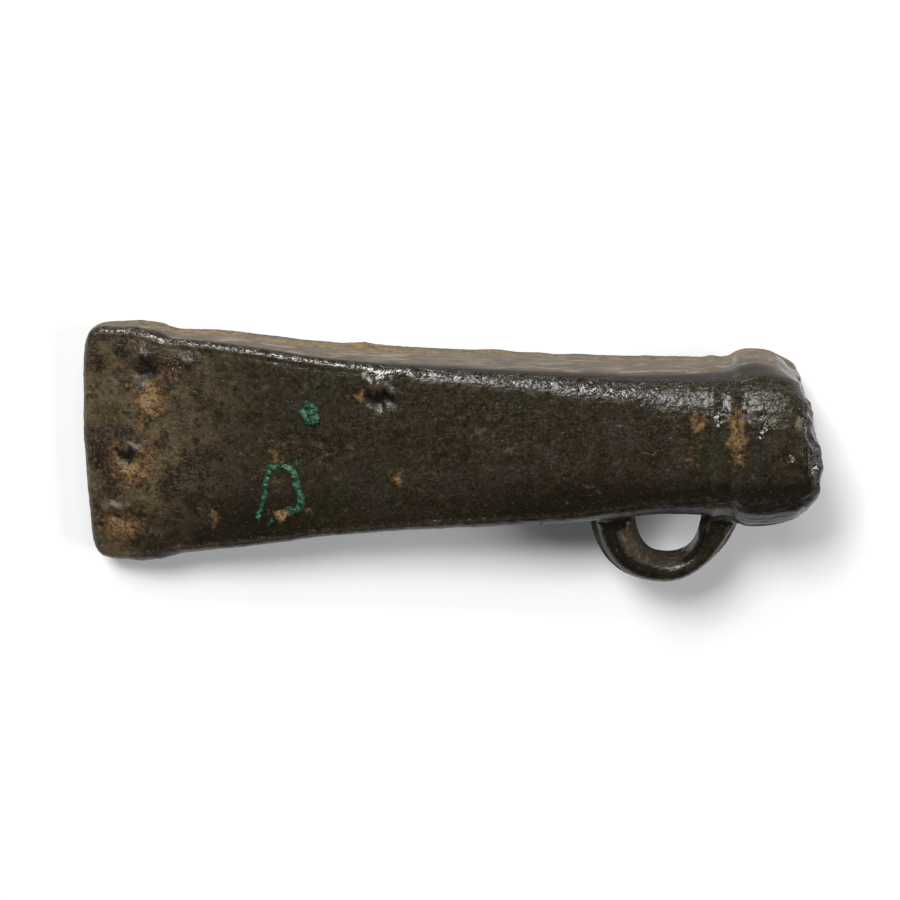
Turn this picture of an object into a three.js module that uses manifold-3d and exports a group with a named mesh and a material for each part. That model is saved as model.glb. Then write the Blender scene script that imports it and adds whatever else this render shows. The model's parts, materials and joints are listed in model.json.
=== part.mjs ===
// Looped socketed axe head, cast in bronze, lying on its broad face as it was found and photographed.
// Millimetres, +Z up. The casting is first drawn along its own axis and then laid down on the ground:
//   X runs from the cutting edge (0) to the mouth, Y across the blade, Z through its thickness,
//   and the loop is on the -Y side.
// A list of shares gives an outline in parts of the sizes that it follows, chosen by hand.

import * as THREE from 'three';
import { mergeVertices } from 'three/addons/utils/BufferGeometryUtils.js';
import Module from 'manifold-3d';

const wasm = await Module();
wasm.setup();

// Lengths along the casting, whose mouth end is measured from the rim
const castingLength = 110.9;
const collarLength = 14.4;
const ribToCollar = 1.6;
const ribToMouldingStart = 1.3;
const neckToMouldingStart = 1.3;
const bandFromCollarStart = 2.7;
const socketDepth = 69.3;
const bladeEndToFloor = 3.6;

// Blade
const cuttingEdgeWidth = 37;
const cuttingEdgeOffset = 0.3;
const cuttingEdgeThickness = 3;
const upperEdgeBow = 1.2;
const lowerEdgeBow = 0.8;
const upperTipRounding = 3.9;
const lowerTipRounding = 4;
const edgeBowLength = 24;
const bladeCornerRadius = 1.7;
const bladeCrown = 0.3;

// Body and neck
const neckWidth = 21.9;
const neckThickness = 18.9;
const mouthCornerRadius = 8.4;
const mouthCrown = 0.8;

// Mouldings round the mouth
const ribWidth = 1.8;
const ribHeight = 0.25;
const bandWidth = 3.2;
const bandHeight = 0.2;
const collarSwell = 1.25;
const rimLoss = 6.4;

// Socket
const socketWall = 2.5;
const mouthFlare = 0.7;
const mouthFlareLength = 2.2;
const floorWidth = 12;
const floorThickness = 5;
const floorCornerRadius = 1.2;
const mouthInnerRadius = 6.2;

// Loop
const loopOntoCollar = 2.9;
const loopBladeRoot = 5.9;
const loopMouthRoot = 5.8;
const strapThickness = 3.4;
const loopWidth = 8.6;
const loopRootWidth = 9.8;
const loopCornerRadius = 2.1;
const eyeLength = 10.6;
const eyeDepth = 7.4;
const eyeHollow = 0.8;
const rootSink = 3;
const seamHeight = 0.35;

// Malachite crusts, placed from the end of the blade's zone and from its middle line
const spotFromBladeEnd = 2.5;
const spotSide = 5.3;
const spotLength = 2.7;
const spotBreadth = 3.3;
const spotHeight = 0.45;
const ringFromBladeEnd = 7.8;
const ringSide = -6.8;
const ringLength = 7;
const ringBreadth = 9.4;
const ringStroke = 1.1;
const ringHeight = 0.35;

// Clearances between zones, and the wear on which the axe lies
const castingGap = 0.2;
const crustGap = 0.1;
const wornDepth = 0.18;

// Outlines, as shares
// [share of the way to the neck, share of the flare from neck to cutting edge],
// on the side away from the loop
const plainSideShares = [
  [0, 1], [0.07, 0.98], [0.1, 0.87], [0.13, 0.75], [0.2, 0.71], [0.31, 0.55], [0.39, 0.4], [0.51, 0.27],
  [0.65, 0.16], [0.8, 0.07], [0.93, 0], [1.25, 0],
];
// The same on the loop's side
const loopSideShares = [
  [0, 1], [0.07, 0.98], [0.12, 0.82], [0.2, 0.69], [0.31, 0.53], [0.39, 0.38], [0.54, 0.22], [0.65, 0.14],
  [0.78, 0.07], [0.93, 0], [1.25, 0],
];
// [share of the way to the neck, share of the rise from edge thickness to neck thickness]
const thicknessShares = [
  [0, 0], [0.065, 0.19], [0.16, 0.36], [0.35, 0.585], [0.59, 0.775], [0.84, 0.93], [1, 1], [1.25, 1.06],
];
// [share of the casting's length, share of the change from blade corners to mouth corners]
const cornerShares = [[0, 0], [0.3, 0.04], [0.56, 0.13], [0.7, 0.27], [0.84, 0.52], [0.93, 0.93], [1, 1]];
// [share of the collar's length, share of its swell]
const collarShares = [
  [0, 0], [0.1, 0.2], [0.2, 0.62], [0.34, 0.98], [0.5, 1], [0.72, 0.94], [0.9, 0.65], [1, 0],
];
// [share of half the rim's width, with the loop's side first, share of what the broken rim has lost]
const rimShares = [
  [-1, 0.75], [-0.94, 0.45], [-0.85, 0.25], [-0.7, 0.12], [-0.5, 0.04], [-0.25, 0], [0.05, 0.05],
  [0.2, 0.14], [0.37, 0.24], [0.7, 0.38], [0.85, 0.48], [0.95, 0.62], [1, 0.88],
];
// [share of the socket's depth from its floor, share of the widening from floor to neck opening]
const taperShares = [[0, 0], [0.06, 0.17], [0.35, 0.52], [0.72, 0.92], [1, 1]];
// [share of half the ring's length, share of half its breadth]: open at the bottom, with one hooked end
const ringShares = [
  [-0.93, -0.9], [-0.68, -0.35], [-0.5, 0.35], [-0.2, 0.9], [0.3, 0.98], [0.72, 0.6], [0.86, 0.1],
  [0.98, -0.25], [0.72, -0.62], [0.3, -0.52],
];
const leftLoopRoundnessShare = 2.5;
const rightLoopRoundnessShare = 1.7;
const eyeRoundnessShare = 2.7;
const bowShare = 2;
const tipStartShare = 0.86;
const cornerLimitShare = 0.96;
const seamBandShare = 0.22;
const strapThinningShare = 0.3;
const eyeHollowLengthShare = 2.6;

// Numbers of facets
const cornerSteps = 5;
const broadSteps = 6;
const narrowSteps = 2;
const noseSteps = 3;
const bladeSteps = 10;
const bodySteps = 16;
const mouldingSteps = 12;
const collarSteps = 12;
const socketSteps = 12;
const strapSteps = 25;
const strapCornerSteps = 3;
const ringSteps = 26;
const ringSides = 8;
const contactSteps = 90;

// Worked out from the sizes above
const collarPlace = castingLength - collarLength;
const bandPlace = collarPlace + bandFromCollarStart;
const ribPlace = collarPlace - ribToCollar;
const mouldingPlace = ribPlace - ribToMouldingStart;
const neckPlace = mouldingPlace - neckToMouldingStart;
const floorPlace = castingLength - socketDepth;
const bladeEnd = floorPlace - bladeEndToFloor;
const noseLength = cuttingEdgeThickness / 2;
const loopLength = loopBladeRoot + eyeLength + loopMouthRoot;
const loopStart = collarPlace + loopOntoCollar - loopLength;
const eyeStart = loopStart + loopBladeRoot;
const loopReach = eyeDepth + strapThickness;
const spotPlace = bladeEnd - spotFromBladeEnd;
const ringPlace = bladeEnd - ringFromBladeEnd;

// A smooth curve through [share, value] pairs, flat-ended between neighbours that are level.
function smoothShares(table, share) {
  const last = table.length - 1;
  if (share <= table[0][0]) return table[0][1];
  if (share >= table[last][0]) return table[last][1];
  const i = table.findIndex(([place]) => place > share) - 1;
  const slope = (a, b) => (table[b][1] - table[a][1]) / (table[b][0] - table[a][0]);
  const tangent = (k) => {
    if (k === 0) return slope(0, 1);
    if (k === last) return slope(last - 1, last);
    const before = slope(k - 1, k);
    const after = slope(k, k + 1);
    return before * after <= 0 ? 0 : (2 * before * after) / (before + after);
  };
  const span = table[i + 1][0] - table[i][0];
  const t = (share - table[i][0]) / span;
  const rise = (1 + 2 * t) * (1 - t) ** 2 * table[i][1] + t * t * (3 - 2 * t) * table[i + 1][1];
  const lean = t * (1 - t) ** 2 * tangent(i) + t * t * (t - 1) * tangent(i + 1);
  return rise + lean * span;
}

const between = THREE.MathUtils.lerp;
const ease = (share) => THREE.MathUtils.smoothstep(share, 0, 1);

// A round bead round the casting, as its height at a place along the axis.
function bead(x, place, width, height) {
  const reach = Math.abs(x - place) / (width / 2);
  return reach < 1 ? height * Math.cos((reach * Math.PI) / 2) ** 2 : 0;
}

// How far the mouldings stand out from the neck.
function mouldingHeight(x) {
  const collar = collarSwell * smoothShares(collarShares, (x - collarPlace) / collarLength);
  return collar + bead(x, ribPlace, ribWidth, ribHeight) + bead(x, bandPlace, bandWidth, bandHeight);
}

// Half the width on each side of the middle line: the cutting edge is a little off it, towards the loop,
// and the body is pinched in behind the loop's eye.
function plainHalfWidth(x) {
  const flare = (cuttingEdgeWidth - neckWidth) / 2 - cuttingEdgeOffset;
  return neckWidth / 2 + flare * smoothShares(plainSideShares, x / neckPlace) + mouldingHeight(x);
}

function loopHalfWidth(x) {
  const flare = (cuttingEdgeWidth - neckWidth) / 2 + cuttingEdgeOffset;
  const hollow = bead(x, eyeStart + eyeLength / 2, eyeHollowLengthShare * eyeLength, eyeHollow);
  return neckWidth / 2 + flare * smoothShares(loopSideShares, x / neckPlace) + mouldingHeight(x) - hollow;
}

const halfAcross = (x, y) => (y > 0 ? plainHalfWidth(x) : loopHalfWidth(x));
const bodyWidth = (x) => plainHalfWidth(x) + loopHalfWidth(x);

// The blunt edge is a half circle in section, which runs into the wedge behind it.
function bodyThickness(x) {
  const rise = smoothShares(thicknessShares, x / neckPlace);
  const wedge = between(cuttingEdgeThickness, neckThickness, rise) + 2 * mouldingHeight(x);
  const nose = x < noseLength ? Math.sqrt(1 - (1 - x / noseLength) ** 2) : 1;
  return wedge * nose;
}

function cornerRadius(x) {
  return between(bladeCornerRadius, mouthCornerRadius, smoothShares(cornerShares, x / castingLength));
}

function crown(x) {
  const share = smoothShares(cornerShares, x / castingLength);
  return between(bladeCrown, mouthCrown, share) * ease(x / edgeBowLength);
}

// Points [y, z] of a rounded rectangle with slightly domed sides, which run from +Y towards +Z.
function roundedSection(width, thickness, radius, dome) {
  const halfWidth = width / 2;
  const halfThickness = thickness / 2;
  const round = Math.min(radius, cornerLimitShare * halfWidth, cornerLimitShare * halfThickness);
  const cornerY = halfWidth - round;
  const cornerZ = halfThickness - round;
  const quarter = [];
  for (let i = 0; i < narrowSteps; i++) quarter.push([halfWidth, (cornerZ * i) / narrowSteps]);
  for (let i = 0; i <= cornerSteps; i++) {
    const angle = (i / cornerSteps) * (Math.PI / 2);
    quarter.push([cornerY + round * Math.cos(angle), cornerZ + round * Math.sin(angle)]);
  }
  for (let i = 1; i <= broadSteps; i++) {
    const angle = (1 - i / broadSteps) * (Math.PI / 2);
    quarter.push([cornerY * Math.sin(angle), halfThickness]);
  }
  const domed = quarter.map(([y, z]) => [
    y + dome * (y / halfWidth) * (1 - (z / halfThickness) ** 2),
    z + dome * (z / halfThickness) * (1 - (y / halfWidth) ** 2),
  ]);
  const top = domed.slice(0, -1);
  const second = [...domed].reverse().slice(0, -1).map(([y, z]) => [-y, z]);
  const upper = [...top, ...second];
  return [...upper, ...upper.map(([y, z]) => [-y, -z])];
}

// The cutting edge bows out in the middle, more so on the loop's side, and its two tips are rounded.
function edgeSetback(x, sideShare) {
  const fade = 1 - ease(x / edgeBowLength);
  const reach = Math.min(Math.abs(sideShare), 1);
  const bow = sideShare > 0 ? upperEdgeBow : lowerEdgeBow;
  const rounding = sideShare > 0 ? upperTipRounding : lowerTipRounding;
  const pastTip = Math.max(reach - tipStartShare, 0) / (1 - tipStartShare);
  const tip = rounding * (1 - Math.sqrt(1 - pastTip ** 2));
  return fade * (bow * reach ** bowShare + tip);
}

// The rim is broken back obliquely, most of all on the side away from the loop.
function rimSetback(x, sideShare) {
  return ease((x - collarPlace) / collarLength) * rimLoss * smoothShares(rimShares, sideShare);
}

// One ring of points round the outside, grown outwards by an amount where a neighbour is to be cut.
function outerRing(x, growth = 0) {
  const width = bodyWidth(x) + 2 * growth;
  const thickness = bodyThickness(x) + 2 * growth;
  const section = roundedSection(width, thickness, cornerRadius(x) + growth, crown(x));
  return section.map(([y, z]) => {
    const sideShare = y / (width / 2);
    const setback = edgeSetback(x, sideShare) - rimSetback(x, sideShare);
    return new THREE.Vector3(x + setback, sideShare * (halfAcross(x, y) + growth), z);
  });
}

// One ring of points round the socket.
function socketRing(x) {
  const share = (x - floorPlace) / (neckPlace - floorPlace);
  const taper = smoothShares(taperShares, share);
  const flare = mouthFlare * ease((x - castingLength + mouthFlareLength) / mouthFlareLength);
  const openingWidth = neckWidth - 2 * socketWall;
  const openingThickness = neckThickness - 2 * socketWall;
  const width = between(floorWidth, openingWidth, taper) + 2 * flare;
  const thickness = between(floorThickness, openingThickness, taper) + 2 * flare;
  const section = roundedSection(width, thickness, between(floorCornerRadius, mouthInnerRadius, taper), 0);
  return section.map(([y, z]) => new THREE.Vector3(x - rimSetback(x, y / halfAcross(x, y)), y, z));
}

// A cap laid in strips across a ring, between its upper and its lower points.
function capTriangles(count) {
  const triangles = [];
  let low = 0;
  let high = count - 1;
  while (high - low > 1) {
    triangles.push([low, low + 1, high]);
    low += 1;
    if (high - low > 1) {
      triangles.push([low, high - 1, high]);
      high -= 1;
    }
  }
  return triangles;
}

// A closed skin over a row of rings that all have as many points. A solid row is capped at both ends,
// and a looped row joins its last ring to its first.
function skin(rings, looped = false) {
  const count = rings[0].length;
  const points = rings.flat();
  const triangles = [];
  const spans = looped ? rings.length : rings.length - 1;
  for (let r = 0; r < spans; r++) {
    const here = r * count;
    const next = ((r + 1) % rings.length) * count;
    for (let i = 0; i < count; i++) {
      const j = (i + 1) % count;
      triangles.push(here + i, here + j, next + i, here + j, next + j, next + i);
    }
  }
  if (!looped) {
    const lastRing = (rings.length - 1) * count;
    for (const [a, b, c] of capTriangles(count)) {
      triangles.push(a, c, b, lastRing + a, lastRing + b, lastRing + c);
    }
  }
  const geometry = new THREE.BufferGeometry();
  const coordinates = points.flatMap((p) => p.toArray());
  geometry.setAttribute('position', new THREE.Float32BufferAttribute(coordinates, 3));
  geometry.setIndex(triangles);
  return geometry;
}

// Evenly spaced places from one place to another, both included.
function places(from, to, steps) {
  return Array.from({ length: steps + 1 }, (_, i) => between(from, to, i / steps));
}

function toSolid(geometry) {
  const bare = geometry.clone();
  bare.deleteAttribute('normal');
  bare.deleteAttribute('uv');
  const merged = mergeVertices(bare);
  return new wasm.Manifold(new wasm.Mesh({
    numProp: 3,
    vertProperties: Float32Array.from(merged.attributes.position.array),
    triVerts: Uint32Array.from(merged.index.array),
  }));
}

function toGeometry(solid) {
  const mesh = solid.getMesh();
  const geometry = new THREE.BufferGeometry();
  geometry.setAttribute('position', new THREE.BufferAttribute(mesh.vertProperties, 3));
  geometry.setIndex(new THREE.BufferAttribute(mesh.triVerts, 1));
  return geometry;
}

// Zones of the casting

function bladeSkin() {
  const nose = Array.from({ length: noseSteps }, (_, i) => {
    const angle = ((i + 1) / (noseSteps + 1)) * (Math.PI / 2);
    return noseLength * (1 - Math.cos(angle));
  });
  const wedge = places(noseLength, bladeEnd - castingGap / 2, bladeSteps);
  return skin([...nose, ...wedge].map((x) => outerRing(x)));
}

function socketBodySkin() {
  const outside = places(bladeEnd + castingGap / 2, mouldingPlace - castingGap / 2, bodySteps);
  const inside = places(mouldingPlace - castingGap / 2, floorPlace, socketSteps);
  return skin([...outside.map((x) => outerRing(x)), ...inside.map(socketRing)]);
}

function mouthCollarSkin() {
  const mouldings = places(mouldingPlace + castingGap / 2, collarPlace, mouldingSteps);
  const collar = places(collarPlace, castingLength, collarSteps).slice(1);
  const inside = [castingLength, castingLength - mouthFlareLength, mouldingPlace + castingGap / 2];
  return skin([...mouldings, ...collar].map((x) => outerRing(x)).concat(inside.map(socketRing)), true);
}

// The whole outside, grown by a gap, which cuts whatever is seated on the casting.
function keepClear(gap) {
  const wedge = places(noseLength, mouldingPlace, bladeSteps + bodySteps);
  const mouldings = places(mouldingPlace, collarPlace, mouldingSteps).slice(1);
  const collar = places(collarPlace, castingLength, collarSteps).slice(1);
  return toSolid(skin([...wedge, ...mouldings, ...collar].map((x) => outerRing(x, gap))));
}

// The strap is drawn from the cutting-edge side round to the mouth side, each ring of it set between
// the outline of the loop and the outline of its eye. A thin cast seam runs along its outer edge.
function strapRing(turn) {
  const side = neckWidth / 2 - rootSink;
  const lengthwise = Math.cos(turn);
  const reachOf = (roundness) => (1 - Math.abs(lengthwise) ** roundness) ** (1 / roundness);
  const roundness = lengthwise > 0 ? leftLoopRoundnessShare : rightLoopRoundnessShare;
  const outer = new THREE.Vector2(
    loopStart + (loopLength / 2) * (1 - lengthwise),
    -(side + (loopReach + rootSink) * reachOf(roundness)),
  );
  const inner = new THREE.Vector2(
    eyeStart + (eyeLength / 2) * (1 - lengthwise),
    -(side + (eyeDepth + rootSink) * reachOf(eyeRoundnessShare)),
  );
  const inward = inner.clone().sub(outer);
  const depth = inward.length();
  const middle = outer.clone().add(inner).multiplyScalar(1 / 2);
  inward.normalize();
  const breadth = between(loopWidth, loopRootWidth, Math.abs(lengthwise) ** 2);
  return strapSection(depth, breadth).map(([a, z]) => new THREE.Vector3(
    middle.x + inward.x * a,
    middle.y + inward.y * a,
    z,
  ));
}

// Points [a, z] of the strap's section, with a towards the eye. Its edges are rounded, its outer face
// is domed and carries the seam, and its inner face is flat across the middle.
function strapSection(depth, breadth) {
  const halfDepth = depth / 2;
  const halfBreadth = breadth / 2;
  const round = Math.min(loopCornerRadius, cornerLimitShare * halfDepth);
  const flat = halfBreadth - round;
  const arc = (centreA, from) => Array.from({ length: strapCornerSteps + 1 }, (_, i) => {
    const angle = from + (i / strapCornerSteps) * (Math.PI / 2);
    return [centreA + round * Math.cos(angle), flat + round * Math.sin(angle)];
  });
  const upper = [...arc(halfDepth - round, 0), ...arc(round - halfDepth, Math.PI / 2)];
  const seam = seamBandShare * flat;
  const dome = strapThinningShare * round;
  const outerFace = [
    [-halfDepth - dome, seam],
    [-halfDepth - dome - seamHeight, 0],
    [-halfDepth - dome, -seam],
  ];
  const lower = [...upper].reverse().map(([a, z]) => [a, -z]);
  return [...upper, ...outerFace, ...lower];
}

function sideLoopSolid() {
  const rings = Array.from({ length: strapSteps + 1 }, (_, i) => strapRing((i / strapSteps) * Math.PI));
  return toSolid(skin(rings)).subtract(keepClear(castingGap));
}

// Crusts

const faceHeight = (x, y) => {
  const domed = crown(x) * (1 - (y / halfAcross(x, y)) ** 2);
  return bodyThickness(x) / 2 + domed;
};

function malachiteSpotSolid() {
  const geometry = new THREE.SphereGeometry(1, 18, 12);
  geometry.scale(spotLength / 2, spotBreadth / 2, spotHeight);
  geometry.translate(spotPlace, spotSide, faceHeight(spotPlace, spotSide));
  return toSolid(geometry).subtract(keepClear(crustGap));
}

function malachiteRingSolid() {
  const path = new THREE.CatmullRomCurve3(ringShares.map(([along, across]) => {
    const x = ringPlace + (along * ringLength) / 2;
    const y = ringSide + (across * ringBreadth) / 2;
    return new THREE.Vector3(x, y, faceHeight(x, y));
  }));
  const rings = places(0, 1, ringSteps).map((share) => {
    const centre = path.getPoint(share);
    const ahead = path.getTangent(share).setZ(0).normalize();
    const aside = new THREE.Vector3(-ahead.y, ahead.x, 0);
    return Array.from({ length: ringSides }, (_, i) => {
      const angle = (i / ringSides) * 2 * Math.PI;
      const point = centre.clone().addScaledVector(aside, (ringStroke / 2) * Math.cos(angle));
      return point.setZ(point.z + ringHeight * Math.sin(angle));
    });
  });
  return toSolid(skin(rings)).subtract(keepClear(crustGap));
}

// Lying on the ground: the axe touches with its belly and with the underside of its collar.

function groundContact() {
  const halfHeight = (x) => bodyThickness(x) / 2 + crown(x);
  const belly = places(noseLength, neckPlace, contactSteps);
  const collar = places(collarPlace, castingLength, contactSteps);
  const steepest = (x) => Math.max(...collar.map((c) => (halfHeight(c) - halfHeight(x)) / (c - x)));
  const slopes = belly.map(steepest);
  const slope = Math.min(...slopes);
  const touching = belly[slopes.indexOf(slope)];
  const tilt = Math.atan(slope);
  const lowest = touching * Math.sin(tilt) - halfHeight(touching) * Math.cos(tilt);
  return { tilt, lift: -lowest - wornDepth };
}

const axe = new THREE.Group();
const contact = groundContact();
axe.rotation.y = -contact.tilt;
axe.position.z = contact.lift;
axe.updateMatrixWorld();

function ground() {
  const size = 4 * castingLength;
  const block = new THREE.BoxGeometry(size, size, size);
  block.translate(0, 0, -size / 2);
  block.applyMatrix4(axe.matrixWorld.clone().invert());
  return toSolid(block);
}

// Finishes
const darkPatina = { color: '#453c2c', roughness: 0.42, metalness: 0.55 };
const neckPatina = { color: '#4a4031', roughness: 0.45, metalness: 0.5 };
const collarPatina = { color: '#514637', roughness: 0.45, metalness: 0.5 };
const soiledPatina = { color: '#40372a', roughness: 0.5, metalness: 0.45 };
const malachite = { color: '#4a6147', roughness: 0.8, metalness: 0 };

function addPart(name, solid, finish) {
  const mesh = new THREE.Mesh(toGeometry(solid), new THREE.MeshStandardMaterial(finish));
  mesh.name = name;
  axe.add(mesh);
}

addPart('blade', toSolid(bladeSkin()).subtract(ground()), darkPatina);
addPart('socket_body', toSolid(socketBodySkin()).subtract(ground()), neckPatina);
addPart('mouth_collar', toSolid(mouthCollarSkin()).subtract(ground()), collarPatina);
addPart('side_loop', sideLoopSolid(), soiledPatina);
addPart('malachite_spot', malachiteSpotSolid(), malachite);
addPart('malachite_ring', malachiteRingSolid(), malachite);

// The origin is under the middle of the axe, on the ground.
const middle = new THREE.Box3().setFromObject(axe, true).getCenter(new THREE.Vector3());
axe.position.x = -middle.x;
axe.position.y = -middle.y;

export default axe;
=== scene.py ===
import json
import math
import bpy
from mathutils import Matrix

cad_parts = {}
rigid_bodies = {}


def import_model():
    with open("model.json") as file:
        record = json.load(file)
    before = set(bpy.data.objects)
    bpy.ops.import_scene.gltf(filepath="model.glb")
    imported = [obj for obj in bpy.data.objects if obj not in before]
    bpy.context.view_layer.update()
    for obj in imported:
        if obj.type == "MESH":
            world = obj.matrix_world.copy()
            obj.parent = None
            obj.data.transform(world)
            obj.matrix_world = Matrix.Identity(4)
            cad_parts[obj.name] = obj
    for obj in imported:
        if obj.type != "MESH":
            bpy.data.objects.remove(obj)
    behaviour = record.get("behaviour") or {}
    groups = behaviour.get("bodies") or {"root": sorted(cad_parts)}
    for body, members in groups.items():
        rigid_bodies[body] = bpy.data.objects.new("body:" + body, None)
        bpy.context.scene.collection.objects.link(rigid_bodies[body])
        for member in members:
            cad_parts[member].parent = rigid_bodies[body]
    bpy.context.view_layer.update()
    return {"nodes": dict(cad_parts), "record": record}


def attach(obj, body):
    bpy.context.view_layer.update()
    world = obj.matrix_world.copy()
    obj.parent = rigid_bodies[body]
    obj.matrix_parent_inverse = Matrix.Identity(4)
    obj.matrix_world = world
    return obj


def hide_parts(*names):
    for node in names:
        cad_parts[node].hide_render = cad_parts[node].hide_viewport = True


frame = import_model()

from types import SimpleNamespace

import bpy
import numpy as np
from mathutils import Matrix, Vector

bl_info = {
    "name": "Looped socketed axe head",
    "version": (1, 0, 0),
    "blender": (4, 5, 0),
    "location": "3D View > Sidebar > Axe head",
    "description": "Dresses the packed axe head as an old bronze casting with its patina and crusts",
    "category": "Object",
}

# All lengths in this file are in millimetres, and become metres where Blender takes them.
MM = 0.001

# The casting's own axis, which the haft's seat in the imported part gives.
# X runs from the cutting edge to the mouth, Y across the blade, Z through its thickness.
SEAT_PLACE = (41.6, 1.0, 0.5)
BLADE_END = 38.0
COLLAR_START = 93.6
MOUTH_PLACE = 110.9
# The slanting cut that parts the loop from the body, from one place to another along and across
LOOP_CUT_START = (75.8, -12.25)
LOOP_CUT_END = (99.8, -13.35)
# Where the loop can lie: from and to along the casting, and from this place across it outwards
LOOP_FROM = 73.0
LOOP_TO = MOUTH_PLACE - 8.0
LOOP_SIDE = -10.0
# The loop's eye
EYE_MIDDLE = (88.3, -14.0)
EYE_HALF_SIZE = (5.3, 3.7)
# The socket: where it starts along the casting, half its breadth and half its height
SOCKET_REGION = (41.0, 9.6, 8.6)

# Which imported node each piece of the casting stands for
REPLACED = {
    "cast_blade": "blade",
    "cast_body": "socket_body",
    "cast_collar": "mouth_collar",
    "cast_loop": "side_loop",
}

# Hollows, blisters and dents on the upper broad face:
# place along the casting, place across it, half length, half breadth, height
UPPER_MARKS = (
    (10.8, 11.0, 1.3, 1.9, -0.55),
    (10.2, 13.5, 1.4, 0.8, 0.5),
    (11.1, 7.6, 1.1, 1.8, -0.3),
    (6.9, -2.3, 1.7, 1.2, -0.45),
    (7.9, -0.7, 1.3, 0.6, 0.45),
    (5.6, -11.8, 2.4, 1.1, -0.34),
    (4.2, -10.1, 1.9, 0.6, 0.5),
    (16.6, 13.0, 1.5, 0.8, 0.3),
    (45.7, 9.7, 2.1, 1.4, 1.0),
    (46.2, 7.3, 2.1, 1.1, -0.6),
    (48.9, 9.6, 0.9, 1.6, -0.3),
    (48.1, -4.3, 1.2, 0.9, 0.15),
    (19.8, -9.6, 1.0, 1.5, -0.2),
    (36.9, -0.8, 1.6, 1.0, -0.15),
)
# The same on the +Y narrow side: place along, height of the place, half length, half height, rise
SIDE_MARKS = (
    (42.8, -3.6, 2.2, 1.5, 0.5),
    (13.0, -1.2, 2.6, 1.0, 0.25),
    (27.0, -2.6, 2.0, 1.2, -0.2),
    (62.0, -6.0, 3.0, 1.4, 0.25),
    (72.0, -6.0, 2.0, 1.4, -0.2),
    (85.0, -6.5, 2.5, 1.4, 0.2),
)
# A sunk mark deeper than this is darkened with dark patina and painted shade, which lies off its middle by
# a share of its breadth, on the wall turned from the lamps
PIT_DEPTH = -0.4
PIT_SHADE_SHIFT = 0.4
# Half the height of the flat narrow side, at places along the casting
SIDE_HALF_HEIGHT_PLACES = (4.0, 20.0, 45.0, 93.0)
SIDE_HALF_HEIGHTS = (1.2, 3.2, 5.2, 5.8)
# Where the earthy strip ends on the narrow side, as a share of that half height, at places along
STRIP_END_PLACES = (10.0, 36.0, 50.0, 62.0, 93.0)
STRIP_END_SHARES = (0.45, 0.3, 0.05, -0.15, -0.1)
# Stains that follow places, and glint rows that place painted highlights: kind, along, across, half length,
# half breadth, strength
STAINS = (
    ("ochre", 11.0, 6.8, 2.2, 2.6, 0.75),
    ("ochre", 11.2, 8.2, 0.9, 1.0, 0.5),
    ("ochre", 7.0, -3.2, 3.4, 3.2, 0.7),
    ("ochre", 5.5, -12.6, 4.5, 2.2, 0.6),
    ("ochre", 12.5, 0.5, 6.0, 8.0, 0.2),
    ("ochre", 14.0, 11.5, 3.0, 2.5, 0.45),
    ("ochre", 37.1, -0.6, 2.2, 1.9, 0.6),
    ("ochre", 48.1, -4.3, 1.6, 1.3, 0.9),
    ("ochre", 43.0, 8.1, 1.0, 0.9, 1.0),
    ("ochre", 30.9, -10.3, 1.7, 0.9, 1.1),
    ("ochre", 34.6, -9.6, 1.6, 0.9, 0.7),
    ("ochre", 20.2, -10.6, 1.4, 2.4, 0.7),
    ("ochre", 29.0, -5.5, 4.0, 5.0, 0.4),
    ("ochre", 98.4, 2.8, 1.9, 6.5, 1.0),
    ("ochre", 92.6, 5.0, 2.2, 2.2, 0.7),
    ("ochre", 91.6, -0.5, 3.0, 3.8, 0.5),
    ("ochre", 97.0, -7.5, 2.4, 2.4, 0.4),
    ("ochre", 30.0, -1.0, 1.5, 2.6, 0.5),
    ("verdigris", 33.1, -2.3, 0.3, 1.1, 0.9),
    ("verdigris", 28.6, -11.6, 0.5, 0.5, 0.9),
    ("verdigris", 26.2, -4.4, 0.5, 0.4, 0.7),
    ("verdigris", 29.2, -2.5, 1.3, 0.35, 0.8),
    ("verdigris", 26.8, -10.6, 0.35, 1.4, 1.0),
    ("green", 30.5, -6.0, 5.0, 5.5, 0.35),
    ("green", 96.0, 2.0, 1.0, 8.0, 0.95),
    ("green", 101.5, 1.0, 1.7, 7.0, 0.95),
    ("green", 60.0, 2.0, 12.0, 5.0, 0.2),
    ("pale", 103.8, 5.3, 1.8, 1.5, 1.0),
    ("pale", 107.5, 4.6, 1.2, 1.8, 1.1),
    ("red", 102.8, 8.7, 1.8, 0.9, 0.9),
    ("red", 106.4, 1.0, 1.2, 3.6, 0.5),
    ("red", 105.8, 4.6, 0.6, 0.6, 0.8),
    ("black", 109.2, -1.0, 1.1, 3.2, 1.0),
    # Painted highlights: pale glints at these places, added to the sparkle and the painted glint of the
    # arris
    ("glint", 86.9, 0.3, 4.0, 3.2, 0.45),
    ("glint", 95.8, 5.3, 0.8, 2.0, 1.0),
    ("glint", 99.3, 6.0, 0.6, 0.8, 0.8),
    ("glint", 102.2, 3.8, 1.0, 1.7, 1.0),
    ("glint", 106.0, -0.2, 0.6, 1.9, 1.0),
    ("glint", 109.6, -2.0, 1.0, 2.4, 0.85),
    ("glint", 14.0, 12.4, 6.0, 1.6, 0.6),
)

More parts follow.
